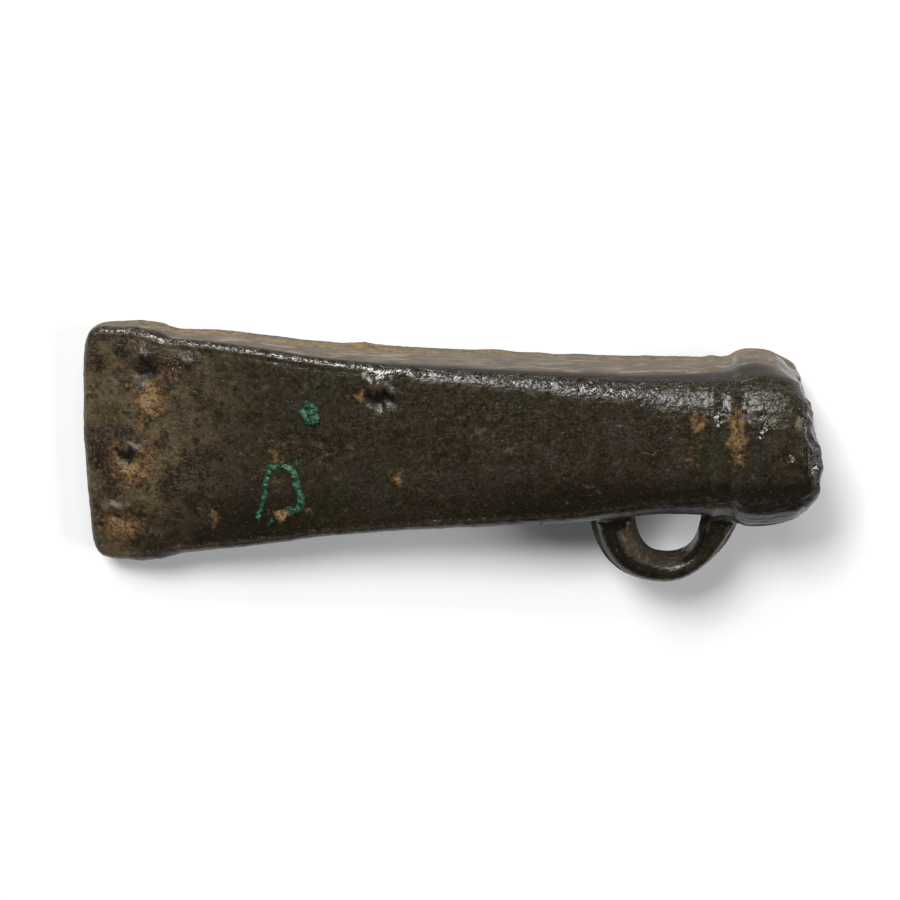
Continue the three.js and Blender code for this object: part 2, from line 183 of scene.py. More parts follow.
# Where weights fade in: none at the first value and full at the second. Where there are four values,
# the weight is full up to the third and none past the fourth. Places and heights are in mm,
# and a turn is the share of the normal that points that way.
FADES = {
    "past the loop's root": (-0.4, 1.2),
    "off the ground": (0.15, 1.1),
    "turned up at all": (-0.1, 0.3),
    "level or turned up": (-0.1, 0.2),
    "turned to the plain side": (0.4, 0.7),
    "turned to the loop's side": (-0.05, -0.45),
    "mouldings": (COLLAR_START - 1.0, COLLAR_START + 1.0, COLLAR_START + 6.0, MOUTH_PLACE - 6.0),
    "narrow side": (0.9, 0.45),
    "smooth side": (0.2, 0.8),
    "smooth side height": (-2.0, 1.0),
    "crest slope": (0.25, 0.5, 0.8, 0.97),
    "crest up": (0.1, 0.3),
    "crest before the mouth": (MOUTH_PLACE - 5.0, MOUTH_PLACE - 9.0),
    "crest on the plain side": (56.0, 36.0),
    "mark turn": (0.2, 0.6),
    "broken rim": (MOUTH_PLACE - 7.0, MOUTH_PLACE - 0.5),
    "broken rim turn": (-0.1, 0.5),
    "flat narrow side": (0.84, 0.95),
    "below the strip's end": (-0.2, 0.2),
    "fold side": (0.72, 0.86),
    "fold up": (0.2, 0.42),
    "fold along": (10.0, 30.0),
    "underneath": (0.02, -0.16),
    "low across": (-3.0, -9.0),
    "low along": (5.0, 22.0),
    "low corner across": (-5.0, -13.0),
    "low corner along": (40.0, 24.0),
    "low corner up": (0.0, 0.3),
    "low body across": (1.0, -7.0),
    "low body along": (48.0, 80.0),
    "arris side": (0.22, 0.4, 0.7, 0.86),
    "rubbed side": (0.3, 0.42, 0.54, 0.68),
    "arris up": (0.1, 0.4),
    "behind the cutting edge": (1.5, 4.0),
    "body": (46.0, 56.0),
    "neck": (80.0, 90.0),
    "skirt up": (0.6, 0.25),
    "skirt side": (0.4, 0.1),
    "eye's wall": (1.55, 1.25),
    "eye's far end": (EYE_MIDDLE[0] + 4.0, EYE_MIDDLE[0] + 1.0),
    "rim's skin": (MOUTH_PLACE - 3.5, MOUTH_PLACE - 1.0),
    "rough blade": (30.0, 10.0),
    "rough blade up": (0.8, 0.95),
    "earthy blade": (22.0, 6.0),
    "fracture": (MOUTH_PLACE - 5.0, MOUTH_PLACE - 2.5),
    "fracture turn": (0.2, 0.45),
    "blade zone": (34.0, 6.0),
    "ring's stroke": (2.2, 0.8),
}

# The outline of a mark wanders by waves: height in mm, turn for each mm in the other direction and
# for each mm in its own, and start
WAVES_ALONG = ((0.3, 1.9, 0.7, 0.0), (0.12, 4.7, 0.0, 1.0))
WAVES_ACROSS = ((0.3, 2.3, 0.5, 0.0), (0.12, 5.3, 0.0, 2.0))
MOUND_STEEPNESS = 1.1

# Rounds of averaging for the way that the skin faces, and for the edge of the hollow
FACING_ROUNDS = 8
HOLLOW_ROUNDS = 3
# Hollows of the skin: name, rounds of averaging that find them, gain for each mm of depth
HOLLOWS = (("fine_hollow", 3, 6.0), ("hollow", 30, 2.2))
HOLLOW_MIDDLE = 0.5

# The casting's skin: sizes in mm of the lumps and the fine grain, the share of the grain's height that
# the fine grain has, and the shares that the smooth side and the loop lack
LUMP_SIZE = 6.0
FINE_SIZE = 0.7
FINE_SHARE = 0.5
LUMPS_LACKING = 0.75
GRAIN_LACKING = 0.85
FINE_LACKING = 0.9
LOOP_LACKING = 0.6
# The value at which a noise neither raises nor lowers the surface
NOISE_MIDDLE = 0.5
# The broken rim: reach in mm, size of its teeth, and the value of the noise at which the rim stays
RIM_REACH = 2.2
RIM_TOOTH = 2.9
RIM_MIDDLE = 0.62

# How far the painted shade of the lower zone reaches over the lower half, the blade's lower corner and the
# body
LOW_SHADE_SHARES = {"half": 0.5, "corner": 0.45, "body": 0.6}
# What the neck takes from the sparkle of the arris, and the body from its painted glint
ARRIS_LOSS = 0.55
GLINT_PAINT_LOSS = 0.25
# How deep the bumps of the skin are, and what each place adds
ROUGH_SKIN = {"casting": 0.3, "smooth side": -0.22, "strip": 0.4, "loop": -0.15, "rim": 0.35, "blade": 0.25}
# The ochre soil of the blade, and the most of it that a place holds
BLADE_OCHRE = 0.3
MOST_OCHRE = 1.2

# Rounds of smoothing of the whole casting and of its mouldings, and the share of each round
CASTING_ROUNDS = 5
MOULDING_ROUNDS = 8
SMOOTHING = 0.5
# Faces that meet at less than this angle are shaded as one
SMOOTH_ANGLE = math.radians(70.0)
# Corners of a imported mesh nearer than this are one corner
MERGE_DISTANCE = 0.001
# The least weight that is stored, and the least length of a normal
LEAST_WEIGHT = 0.002
LEAST_LENGTH = 1e-9
# How near to a cut's plane a corner counts as on it
CUT_THRESHOLD = 0.0001

# The crusts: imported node, name, rounds of smoothing, whether it is grown all over, whether it has the
# thick stroke, and in mm how uneven its outline and its top are
CRUSTS = (
    ("malachite_spot", "crust_spot", 14, 1.0, 0.0, 1.7, 0.8),
    ("malachite_ring", "crust_ring", 2, 0.0, 1.0, 0.9, 0.95),
)
CRUST_VOXEL = 0.12
CRUST_GROWTH = 0.34
CRUST_LUMP = 1.0
# The ring's thickest stroke: place in the part's X, and how far it stands out
THICK_STROKE = -23.0
STROKE_HEIGHT = 0.2
# Top of the ring's arch, which lies lower and is thin: place in the part's X and Y, half sizes,
# then how far it moves in Y and in Z
RING_ARCH = (-25.4, 0.2, 2.3, 1.7)
ARCH_SHIFT = -0.6
ARCH_THINNING = -0.12
# The underside, where the normal points down by more than this share, is sunk into the blade
BASE_TURN = -0.2
BASE_DEPTH = -0.4
# Size of the breaks in a crust, and the value of the noise below which its top sinks
BREAK_SIZE = 1.7
BREAK_MIDDLE = 0.68

# The stage. The camera and the lamps aim at this place.
AIM = (-0.3, 0.77, 10.0)
# The floor's paper, the strength of the light from all round, and the camera's sensor and range
FLOOR_SIZE = 3000.0
FLOOR_ROUGHNESS = 0.9
FLOOR_SPECULAR = 0.1
FLOOR_GLOW = 0.05
WORLD_STRENGTH = 0.1
SENSOR_WIDTH = 36.0
NEAREST_SEEN = 10.0
FARTHEST_SEEN = 20000.0
# Lamps: name, the setting of its power, direction from the aim, distance, length and breadth
LAMPS = (
    ("key", "key_power", (-0.32, 0.66, 1.0), 1000.0, 340.0, 340.0),
    ("edge", "edge_power", (-0.1, 0.85, 0.7), 900.0, 700.0, 45.0),
    ("right", "right_power", (0.87, 0.0, 0.66), 800.0, 360.0, 360.0),
)


def srgb(code):
    """A linear colour from an sRGB hex value."""
    parts = [int(code[i:i + 2], 16) / 255 for i in (1, 3, 5)]
    return tuple(p / 12.92 if p <= 0.04045 else ((p + 0.055) / 1.055) ** 2.4 for p in parts)


def ramp(values, low, high):
    """0 at low, 1 at high, and smooth between them."""
    share = np.clip((values - low) / (high - low), 0.0, 1.0)
    return share * share * (3.0 - 2.0 * share)


def fade(values, name):
    """The weight that a named fade gives to values."""
    none, full, *end = FADES[name]
    weight = ramp(values, none, full)
    if end:
        weight *= ramp(values, end[1], end[0])
    return weight


def wandering(values, others, waves):
    """Places in one direction, shifted by waves."""
    shift = [height * np.sin(other * others + own * values + start) for height, other, own, start in waves]
    return values + sum(shift)


def mound(along, across, place, side, half_length, half_breadth):
    """A smooth weight that is 1 at its middle, with an uneven outline."""
    bent_along = wandering(along, across, WAVES_ALONG)
    bent_across = wandering(across, along, WAVES_ACROSS)
    distance = ((bent_along - place) / half_length) ** 2 + ((bent_across - side) / half_breadth) ** 2
    return np.exp(-MOUND_STEEPNESS * distance)


class CastingPlace:
    """Turns the part's metres into the casting's own millimetres, and back."""

    def __init__(self, mount):
        axis = Vector(mount["axis"]).normalized()
        across = Vector((0.0, 1.0, 0.0))
        rise = axis.cross(across)
        self.turn = np.array((axis, across, rise))
        self.seat = np.array(mount["pos_m"])

    def inside(self, points):
        return (points - self.seat) @ self.turn.T / MM + np.array(SEAT_PLACE)

    def outside(self, place):
        return Vector((np.array(place) - np.array(SEAT_PLACE)) * MM @ self.turn + self.seat)

    def direction(self, vector):
        return Vector(np.array(vector) @ self.turn)


def casting_place():
    mounts = {mount["name"]: mount for mount in frame["record"]["mounts"]}
    return CastingPlace(mounts["haft_seat"])


def deselect_all():
    if bpy.context.object and bpy.context.object.mode != "OBJECT":
        bpy.ops.object.mode_set(mode="OBJECT")
    bpy.ops.object.select_all(action="DESELECT")


def make_active(obj):
    deselect_all()
    obj.select_set(True)
    bpy.context.view_layer.objects.active = obj


def copy_of_nodes(names, new_name):
    """One new object from copies of CAD nodes, with their corners merged."""
    deselect_all()
    for name in names:
        frame["nodes"][name].select_set(True)
    bpy.context.view_layer.objects.active = frame["nodes"][names[0]]
    bpy.ops.object.duplicate()
    copies = list(bpy.context.selected_objects)
    bpy.context.view_layer.objects.active = copies[0]
    bpy.ops.object.parent_clear(type="CLEAR_KEEP_TRANSFORM")
    if len(copies) > 1:
        bpy.ops.object.join()
    obj = bpy.context.view_layer.objects.active
    obj.name = new_name
    obj.data.name = new_name
    for key in list(obj.keys()):
        del obj[key]
    obj.data.materials.clear()
    bpy.ops.object.mode_set(mode="EDIT")
    bpy.ops.mesh.select_all(action="SELECT")
    bpy.ops.mesh.remove_doubles(threshold=MERGE_DISTANCE * MM)
    bpy.ops.object.mode_set(mode="OBJECT")
    while obj.data.uv_layers:
        obj.data.uv_layers.remove(obj.data.uv_layers[0])
    return obj


def finish_modifier(obj, kind, **settings):
    """Adds a modifier with its settings and applies it."""
    make_active(obj)
    modifier = obj.modifiers.new(kind.title(), kind)
    for key, value in settings.items():
        setattr(modifier, key, value)
    bpy.ops.object.modifier_apply(modifier=modifier.name)


def weighted(obj, name, weights):
    """A vertex group with a weight for each vertex that has one."""
    group = obj.vertex_groups.new(name=name)
    for index in np.flatnonzero(weights > LEAST_WEIGHT):
        group.add((int(index),), float(weights[index]), "REPLACE")
    return group


def raise_surface(obj, name, height, weights=None, texture=None, direction="NORMAL", middle=0.0):
    """Moves the surface by a height in mm, times a weight and a texture where they are given."""
    settings = {"strength": height * MM, "mid_level": middle, "direction": direction}
    if texture:
        settings["texture"] = texture
        settings["texture_coords"] = "LOCAL"
    if weights is not None:
        settings["vertex_group"] = weighted(obj, name, weights).name
    finish_modifier(obj, "DISPLACE", **settings)
    obj.vertex_groups.clear()


def cloud(name, size, depth=1):
    """A soft noise whose lumps are about as large as the size in mm."""
    texture = bpy.data.textures.new(name, "CLOUDS")
    texture.noise_scale = size * MM
    texture.noise_depth = depth
    texture.noise_basis = "IMPROVED_PERLIN"
    return texture


def vertex_arrays(obj):
    count = len(obj.data.vertices)
    points = np.empty(count * 3)
    obj.data.vertices.foreach_get("co", points)
    normals = np.empty(count * 3)
    obj.data.vertex_normals.foreach_get("vector", normals)
    return points.reshape(-1, 3), normals.reshape(-1, 3)


def edge_array(obj):
    edges = np.empty(len(obj.data.edges) * 2, dtype=np.int32)
    obj.data.edges.foreach_get("vertices", edges)
    return edges.reshape(-1, 2)


def spread(values, edges, rounds):
    """Values averaged with those of neighbouring vertices, a number of times."""
    count = len(values)
    share = np.bincount(edges.ravel(), minlength=count).reshape((-1,) + (1,) * (values.ndim - 1))
    result = values.copy()
    for _ in range(rounds):
        total = result.copy()
        if values.ndim == 1:
            total += np.bincount(edges[:, 0], result[edges[:, 1]], count)
            total += np.bincount(edges[:, 1], result[edges[:, 0]], count)
        else:
            for k in range(values.shape[1]):
                total[:, k] += np.bincount(edges[:, 0], result[edges[:, 1], k], count)
                total[:, k] += np.bincount(edges[:, 1], result[edges[:, 0], k], count)
        result = total / (share + 1)
    return result


def set_attribute(obj, name, values, most=1.0):
    """Stores a value for each vertex, from 0 to the most that it may be."""
    attribute = obj.data.attributes.new(name, "FLOAT", "POINT")
    attribute.data.foreach_set("value", np.clip(values, 0.0, most).astype(np.float32))


def zone_weights(obj, place):
    """Where each vertex lies on the casting and faces, and whether it is on the outside or the loop."""
    points, normals = vertex_arrays(obj)
    along, across, rise = place.inside(points).T
    facing = normals @ place.turn.T
    outwards = facing[:, 1] * across + facing[:, 2] * rise
    start, half_width, half_height = SOCKET_REGION
    hollow = (along > start) & (np.abs(across) < half_width) & (np.abs(rise) < half_height)
    hollow &= outwards < 0
    cut_places, cut_sides = zip(LOOP_CUT_START, LOOP_CUT_END)
    loop = fade(np.interp(along, cut_places, cut_sides) - across, "past the loop's root")
    loop *= (along > LOOP_FROM) & (along < LOOP_TO)
    edges = edge_array(obj)
    facing = spread(facing, edges, FACING_ROUNDS)
    facing /= np.maximum(np.linalg.norm(facing, axis=1), LEAST_LENGTH)[:, None]
    return SimpleNamespace(
        points=points, edges=edges, along=along, across=across, rise=rise,
        facing=facing, to_mouth=facing[:, 0], to_side=facing[:, 1], up=facing[:, 2],
        outer=1.0 - spread(hollow.astype(float), edges, HOLLOW_ROUNDS), loop=loop,
    )


def patch_field(zones, kind):
    """The stains of a kind, or the painted highlights of the glint rows, on the faces that look up."""
    total = np.zeros(len(zones.along))
    for name, *spot, strength in STAINS:
        if name == kind:
            total += strength * mound(zones.along, zones.across, *spot)
    return total * fade(zones.up, "turned up at all") * zones.outer


def shape_casting(obj, place, settings):
    """Gives the plain casting its crests, lumps, grain, dents and broken rim."""
    zones = zone_weights(obj, place)
    skin = zones.outer * fade(zones.points[:, 2] / MM, "off the ground")
    smooth_side = fade(np.abs(zones.up), "narrow side") * fade(zones.to_side, "smooth side")
    smooth_side *= fade(zones.rise, "smooth side height")
    slope = np.sqrt(np.clip(1.0 - zones.up ** 2, 0.0, 1.0))
    crest = fade(slope, "crest slope") * fade(zones.up, "crest up")
    crest *= fade(zones.along, "crest before the mouth")
    crest *= np.where(zones.across > 0, fade(zones.along, "crest on the plain side"), 1.0)
    raise_surface(obj, "crest", settings.crest_height, crest * skin * (1.0 - zones.loop))
    lumps = skin * (1.0 - LUMPS_LACKING * smooth_side)
    texture = cloud("casting lumps", LUMP_SIZE)
    raise_surface(obj, "lumps", settings.lump_height, lumps, texture, middle=NOISE_MIDDLE)
    skin *= 1.0 - LOOP_LACKING * zones.loop
    grain = skin * (1.0 - GRAIN_LACKING * smooth_side)
    texture = cloud("casting grain", settings.grain_size, 2)
    raise_surface(obj, "grain", settings.grain_height, grain, texture, middle=NOISE_MIDDLE)
    fine = skin * (1.0 - FINE_LACKING * smooth_side)
    texture = cloud("corroded skin", FINE_SIZE)
    raise_surface(obj, "fine", settings.grain_height * FINE_SHARE, fine, texture, middle=NOISE_MIDDLE)
    top = fade(zones.up, "mark turn") * zones.outer
    flank = fade(zones.to_side, "mark turn") * zones.outer
    for sign, name in ((1.0, "risen"), (-1.0, "sunk")):
        weights = np.zeros(len(top))
        for marks, other, share in ((UPPER_MARKS, zones.across, top), (SIDE_MARKS, zones.rise, flank)):
            for *spot, height in marks:
                if height * sign > 0:
                    weights += abs(height) * mound(zones.along, other, *spot) * share
        raise_surface(obj, name, sign, np.clip(weights, 0.0, 1.0))
    rim = fade(zones.along, "broken rim") * fade(zones.to_mouth, "broken rim turn")
    raise_surface(obj, "rim", RIM_REACH, rim, cloud("broken rim", RIM_TOOTH, 2), "X", RIM_MIDDLE)


def mark_surface(obj, place):
    """Stores what the patina follows: hollows, soil, stains and smooth sides, and where shade and glints
    are painted.
    """
    zones = zone_weights(obj, place)
    along, across, side, up = zones.along, zones.across, zones.to_side, zones.up
    plain = zones.outer * (1.0 - zones.loop)

    normals = zones.facing @ place.turn
    for name, rounds, gain in HOLLOWS:
        average = spread(zones.points, zones.edges, rounds)
        depth = np.einsum("ij,ij->i", average - zones.points, normals) / MM
        set_attribute(obj, name, HOLLOW_MIDDLE + gain * depth)

    flank = fade(side, "flat narrow side") * plain
    half_side = np.interp(along, SIDE_HALF_HEIGHT_PLACES, SIDE_HALF_HEIGHTS)
    strip_end = np.interp(along, STRIP_END_PLACES, STRIP_END_SHARES)
    seam = fade(strip_end - zones.rise / half_side, "below the strip's end")
    to_side = fade(side, "turned to the plain side") * plain
    set_attribute(obj, "side", flank * (1.0 - seam))
    set_attribute(obj, "strip", to_side * seam)
    # Painted shade on the narrow side's faces that turn down to the floor
    set_attribute(obj, "under", to_side * fade(up, "underneath"))
    # Painted shade: a dark band where the narrow side turns into the arris, fading out towards the blade
    fold = fade(side, "fold side") * fade(up, "fold up") * fade(along, "fold along")
    set_attribute(obj, "fold", fold * plain)

    # Painted shade: darker on the faces turned to the loop's side, away from the lamps, on the lower half,
    # the blade's lower corner and the body, and over the whole loop
    level = fade(up, "level or turned up")
    low = fade(side, "turned to the loop's side") * level
    low += LOW_SHADE_SHARES["half"] * fade(across, "low across")
    low *= level * fade(along, "low along")
    corner = fade(across, "low corner across") * fade(along, "low corner along")
    low += LOW_SHADE_SHARES["corner"] * corner * fade(up, "low corner up")
    low += LOW_SHADE_SHARES["body"] * fade(across, "low body across") * fade(along, "low body along") * level
    set_attribute(obj, "low", low + zones.loop)

    edge = fade(up, "arris up") * fade(along, "behind the cutting edge") * plain
    neck = fade(along, "neck")
    glint = patch_field(zones, "glint")
    arris = fade(side, "arris side") * edge * (1.0 - ARRIS_LOSS * neck)
    set_attribute(obj, "arris", arris + glint)
    # Painted highlight: pale glints along the arris, where the lamps' reflection falls, and at the glint
    # places
    rubbed = fade(side, "rubbed side") * edge * (1.0 - GLINT_PAINT_LOSS * fade(along, "body")) * (1.0 - neck)
    set_attribute(obj, "rubbed", rubbed + glint)
    # Painted shade: dark on the steep faces that are not turned to the lamps, along the lower outline and
    # the ends
    skirt = fade(np.abs(up), "skirt up") * fade(side, "skirt side")
    set_attribute(obj, "skirt", skirt * zones.outer)

    from_eye = np.hypot((along - EYE_MIDDLE[0]) / EYE_HALF_SIZE[0],
                        (across - EYE_MIDDLE[1]) / EYE_HALF_SIZE[1])
    eye_wall = fade(from_eye, "eye's wall") * fade(along, "eye's far end")
    set_attribute(obj, "eye_wall", eye_wall * zones.loop)

    # Dark patina and painted shade in the deeper pits, shifted onto the wall turned from the lamps
    pit = np.zeros(len(along))
    for *spot, height in UPPER_MARKS:
        if height < PIT_DEPTH:
            pit += mound(along, across - PIT_SHADE_SHIFT * spot[3], *spot)
    set_attribute(obj, "pit", pit * fade(up, "turned up at all") * zones.outer)

    rough = ROUGH_SKIN["casting"] + ROUGH_SKIN["loop"] * zones.loop
    rough += (ROUGH_SKIN["smooth side"] * (1.0 - seam) + ROUGH_SKIN["strip"] * seam) * flank
    rough += ROUGH_SKIN["rim"] * fade(along, "rim's skin")
    rough += ROUGH_SKIN["blade"] * fade(along, "rough blade") * fade(up, "rough blade up")
    set_attribute(obj, "rough_skin", rough)
    set_attribute(obj, "blade_zone", fade(along, "blade zone"))

    for kind in ("green", "verdigris", "red", "pale"):
        set_attribute(obj, kind, patch_field(zones, kind))
    ochre = patch_field(zones, "ochre") + BLADE_OCHRE * fade(along, "earthy blade")
    set_attribute(obj, "ochre", ochre, MOST_OCHRE)
    fracture = fade(along, "fracture") * fade(zones.to_mouth, "fracture turn") * plain
    set_attribute(obj, "black", patch_field(zones, "black") + fracture)


def cut(obj, plane_point, plane_normal, keep_positive, chosen=None):
    """Cuts an object's mesh along a plane and closes the cut."""
    make_active(obj)
    bpy.ops.object.mode_set(mode="EDIT")
    bpy.ops.mesh.select_all(action="SELECT" if chosen is None else "DESELECT")
    bpy.ops.object.mode_set(mode="OBJECT")
    if chosen is not None:
        obj.data.polygons.foreach_set("select", chosen)
    bpy.ops.object.mode_set(mode="EDIT")
    bpy.ops.mesh.bisect(
        plane_co=plane_point, plane_no=plane_normal, use_fill=True,
        clear_inner=keep_positive, clear_outer=not keep_positive, threshold=CUT_THRESHOLD * MM,
    )
    bpy.ops.object.mode_set(mode="OBJECT")


def copy_whole(obj, name):
    make_active(obj)
    bpy.ops.object.duplicate()
    copied = bpy.context.view_layer.objects.active
    copied.name = name
    copied.data.name = name
    return copied


def face_places(obj, place):
    centres = np.empty(len(obj.data.polygons) * 3)
    obj.data.polygons.foreach_get("center", centres)
    return place.inside(centres.reshape(-1, 3))


def part_casting(whole, place):
    """Parts the whole casting into blade, body, collar and loop."""
    lean = Vector((LOOP_CUT_END[0] - LOOP_CUT_START[0], LOOP_CUT_END[1] - LOOP_CUT_START[1], 0.0))
    loop_normal = place.direction((-lean.y, lean.x, 0.0)).normalized()
    loop_point = place.outside((*LOOP_CUT_START, 0.0))
    axis = place.direction((1.0, 0.0, 0.0))
    blade_point = place.outside((BLADE_END, 0.0, 0.0))
    collar_point = place.outside((COLLAR_START, 0.0, 0.0))
    loop = copy_whole(whole, "cast_loop")
    cut(loop, place.outside((LOOP_FROM, 0.0, 0.0)), axis, True)
    cut(loop, loop_point, loop_normal, False)
    spots = face_places(whole, place)
    near_loop = (spots[:, 0] > LOOP_FROM) & (spots[:, 1] < LOOP_SIDE)
    cut(whole, loop_point, loop_normal, True, near_loop)
    blade = copy_whole(whole, "cast_blade")
    cut(blade, blade_point, axis, False)
    collar = copy_whole(whole, "cast_collar")
    cut(collar, collar_point, axis, True)
    cut(whole, blade_point, axis, True)
    cut(whole, collar_point, axis, False)
    whole.name = "cast_body"
    whole.data.name = "cast_body"
    return blade, whole, collar, loop


def add_node(tree, kind, links=None, **settings):
    """Adds a node with its settings, and its inputs as values or as links from other nodes."""
    new = tree.nodes.new(kind)
    for key, value in settings.items():
        setattr(new, key, value)
    for socket, value in (links or {}).items():
        if isinstance(value, bpy.types.NodeSocket):
            tree.links.new(value, new.inputs[socket])
        else:
            new.inputs[socket].default_value = value
    return new


# Noise patterns: kind, size of features in mm, detail, roughness, distortion, stretch along the casting.
# The specks of soil on such an axe are about 0.1 mm, too fine to show, so the grit is drawn coarser.
PATTERNS = {
    "broad": ("FBM", 12.0, 3.0, 0.5, 0.0, 1.0),
    "tint": ("FBM", 7.0, 4.0, 0.6, 0.6, 1.0),
    "blotch": ("FBM", 2.6, 5.0, 0.62, 0.3, 1.0),
    "grain": ("FBM", 0.85, 4.0, 0.65, 0.0, 1.0),
    "crinkle": ("FBM", 0.5, 3.0, 0.6, 0.8, 1.0),
    "curl": ("RIDGED_MULTIFRACTAL", 1.0, 3.0, 0.6, 1.4, 0.8),
    "wrinkle": ("RIDGED_MULTIFRACTAL", 1.4, 3.0, 0.6, 1.2, 0.7),
    "grit": ("FBM", 0.32, 2.0, 0.6, 0.0, 1.0),
    "streak": ("FBM", 0.8, 4.0, 0.6, 0.0, 0.15),
}

# The offset of the ridged noises, at which their ridges stand apart
RIDGE_OFFSET = 1.0

# Marks that the mesh stores at its points
STORED = (
    "hollow", "fine_hollow", "side", "strip", "fold", "under", "low", "arris", "rubbed", "skirt", "pit",
    "eye_wall", "ochre", "green", "verdigris", "red", "pale", "black", "blade_zone", "rough_skin",
)

# Sums of patterns and marks, each with its weight
SUMS = {
    "soil": (("ochre", 0.62), ("grain", 1.0), ("blotch", 0.45)),
    "strip_soil": (("strip", 0.5), ("grain", 0.6), ("blotch", 0.5)),
    "eye_soil": (("eye_wall", 0.42), ("grain", 0.9), ("blotch", 0.9)),
    "green_patch": (("green", 0.55), ("blotch", 0.5), ("grain", 1.0)),
    "verdigris_patch": (("verdigris", 0.5), ("crinkle", 1.0)),
    # The painted glint of the arris, broken up by noise
    "glint_painted_patch": (("rubbed", 0.4), ("crinkle", 1.0), ("grain", 0.3)),
    "red_patch": (("red", 0.55), ("blotch", 0.5), ("grain", 1.0)),
    "pale_patch": (("pale", 0.55), ("blotch", 0.5), ("grain", 1.0)),
}

# The ground of each material: colour and roughness
BRONZE_BASE = ("dark_patina", 0.22)
MALACHITE_BASE = ("dark_malachite", 0.4)

# Coats of the bronze from the ground outwards: colour, roughness, greatest cover, and where it lies,
# as patterns or marks with the values at which the coat begins and is full
BRONZE_COATS = (
    ("olive_patina", 0.22, 1.0, (("broad", 0.36, 0.62),)),
    ("violet_patina", 0.24, 0.6, (("tint", 0.46, 0.62),)),
    ("blade_patina", 0.3, 0.85, (("blade_zone", 0.0, 1.0), ("tint", 0.68, 0.4))),
    ("dark_patina", 0.25, 0.8, (("blade_zone", 0.0, 0.6), ("blotch", 0.54, 0.4))),
    ("ochre_soil", 0.5, 0.5, (("blade_zone", 0.0, 0.8), ("crinkle", 0.53, 0.68))),
    ("light_patina", 0.3, 0.3, (("blotch", 0.44, 0.76),)),
    ("black_patina_and_shade", 0.22, 0.5, (("blotch", 0.52, 0.3),)),
    ("black_patina_and_shade", 0.22, 0.55, (("grain", 0.52, 0.36),)),
    ("light_patina", 0.28, 0.4, (("curl", 1.1, 1.5),)),
    ("moss_patina", 0.28, 0.38, (("grain", 0.5, 0.64), ("tint", 0.58, 0.42))),
    ("plum_patina", 0.26, 0.5, (("crinkle", 0.5, 0.66), ("tint", 0.48, 0.62))),
    ("ochre_soil", 0.35, 0.16, (("crinkle", 0.53, 0.66), ("broad", 0.58, 0.42))),
    # Painted shade of the lower zone and of the loop
    ("black_patina_and_shade", 0.22, 0.85, (("low", 0.0, 1.0),)),
    ("side_patina", 0.8, 0.95, (("side", 0.0, 1.0), ("streak", 0.26, 0.5))),
    ("dark_patina", 0.6, 0.3, (("side", 0.3, 1.0), ("blotch", 0.56, 0.4))),
    # Painted sheen: pale streaks along the smooth narrow side
    ("painted_glint_colour", 0.6, 0.22, (("side", 0.2, 1.0), ("streak", 0.5, 0.66))),
    # Painted shade along the turn from the narrow side to the arris
    ("black_patina_and_shade", 0.3, 0.75, (("fold", 0.0, 1.0),)),
    # Painted shade on the steep faces turned from the lamps; the two coats after it lighten its fullest
    # part with noise
    ("black_patina_and_shade", 1.0, 0.95, (("skirt", 0.0, 0.8),)),
    ("light_patina", 0.8, 0.5, (("skirt", 0.75, 1.0), ("tint", 0.44, 0.6))),
    ("blade_patina", 0.85, 0.3, (("skirt", 0.75, 1.0), ("grain", 0.48, 0.64), ("blotch", 0.46, 0.6))),
    ("green_stain", 0.35, 0.9, (("green_patch", 1.08, 1.36),)),
    ("red_stain", 0.4, 0.9, (("red_patch", 1.08, 1.36),)),
    ("pale_stain", 0.5, 0.75, (("pale_patch", 1.1, 1.4),)),
    ("ochre_soil", 0.6, 0.75, (("soil", 0.98, 1.24),)),
    ("pale_soil", 0.75, 0.6, (("soil", 1.16, 1.42),)),
    ("black_patina_and_shade", 0.4, 0.75, (("soil", 0.98, 1.1), ("crinkle", 0.52, 0.42))),
    ("eye_earth", 1.0, 0.9, (("eye_soil", 1.04, 1.28),)),
    ("strip_earth", 0.8, 0.38, (("eye_soil", 1.26, 1.5),)),
    ("strip_earth", 0.8, 0.85, (("strip_soil", 0.66, 0.95),)),
    ("pale_soil", 0.8, 0.7, (("strip_soil", 0.98, 1.12),)),
    ("dark_patina", 0.6, 0.65, (("strip", 0.3, 1.0), ("grain", 0.5, 0.38))),
    # Painted shade where the narrow side turns down to the floor
    ("black_patina_and_shade", 0.5, 0.85, (("under", 0.0, 0.8),)),
    ("malachite", 0.35, 0.95, (("verdigris_patch", 0.8, 0.9),)),
    # Dark patina and painted shade in the pits
    ("black_patina_and_shade", 0.35, 0.95, (("pit", 0.1, 0.45),)),
    # Darker in the hollows of the skin: dark patina and painted shade
    ("black_patina_and_shade", 0.4, 0.8, (("hollow", 0.72, 1.0),)),
    ("black_patina_and_shade", 0.12, 0.95, (("black", 0.1, 0.6),)),
    ("pale_soil", 0.7, 0.25, (("grit", 0.63, 0.75),)),
    ("black_patina_and_shade", 0.25, 0.5, (("grit", 0.42, 0.3),)),
    ("side_patina", 0.25, 0.2, (("fine_hollow", 0.48, 0.15),)),
    ("dark_patina", 0.13, 0.8, (("arris", 0.1, 0.8),)),
    # Painted highlight: pale glints on the arrises
    ("painted_glint_colour", 0.3, 0.9, (("glint_painted_patch", 1.0, 1.14),)),
)
MALACHITE_COATS = (
    ("malachite", 0.35, 1.0, (("crinkle", 0.42, 0.62),)),
    ("pale_malachite", 0.5, 0.6, (("grit", 0.58, 0.72),)),
    ("dark_malachite", 0.3, 0.8, (("blotch", 0.5, 0.38),)),
)

# Metallic and specular level of both materials: the metal is nowhere bare
METALLIC = 0.0
SPECULAR = 0.4

# Bumps: pattern, depth in mm, and the mark that limits it, if any
BRONZE_BUMPS = (
    ("streak", 0.07, None),
    ("grain", 0.2, "rough_skin"),
    ("crinkle", 0.18, "rough_skin"),
    ("wrinkle", 0.09, "arris"),
    ("grit", 0.02, None),
)
MALACHITE_BUMPS = (("crinkle", 0.2, None), ("grit", 0.06, None))


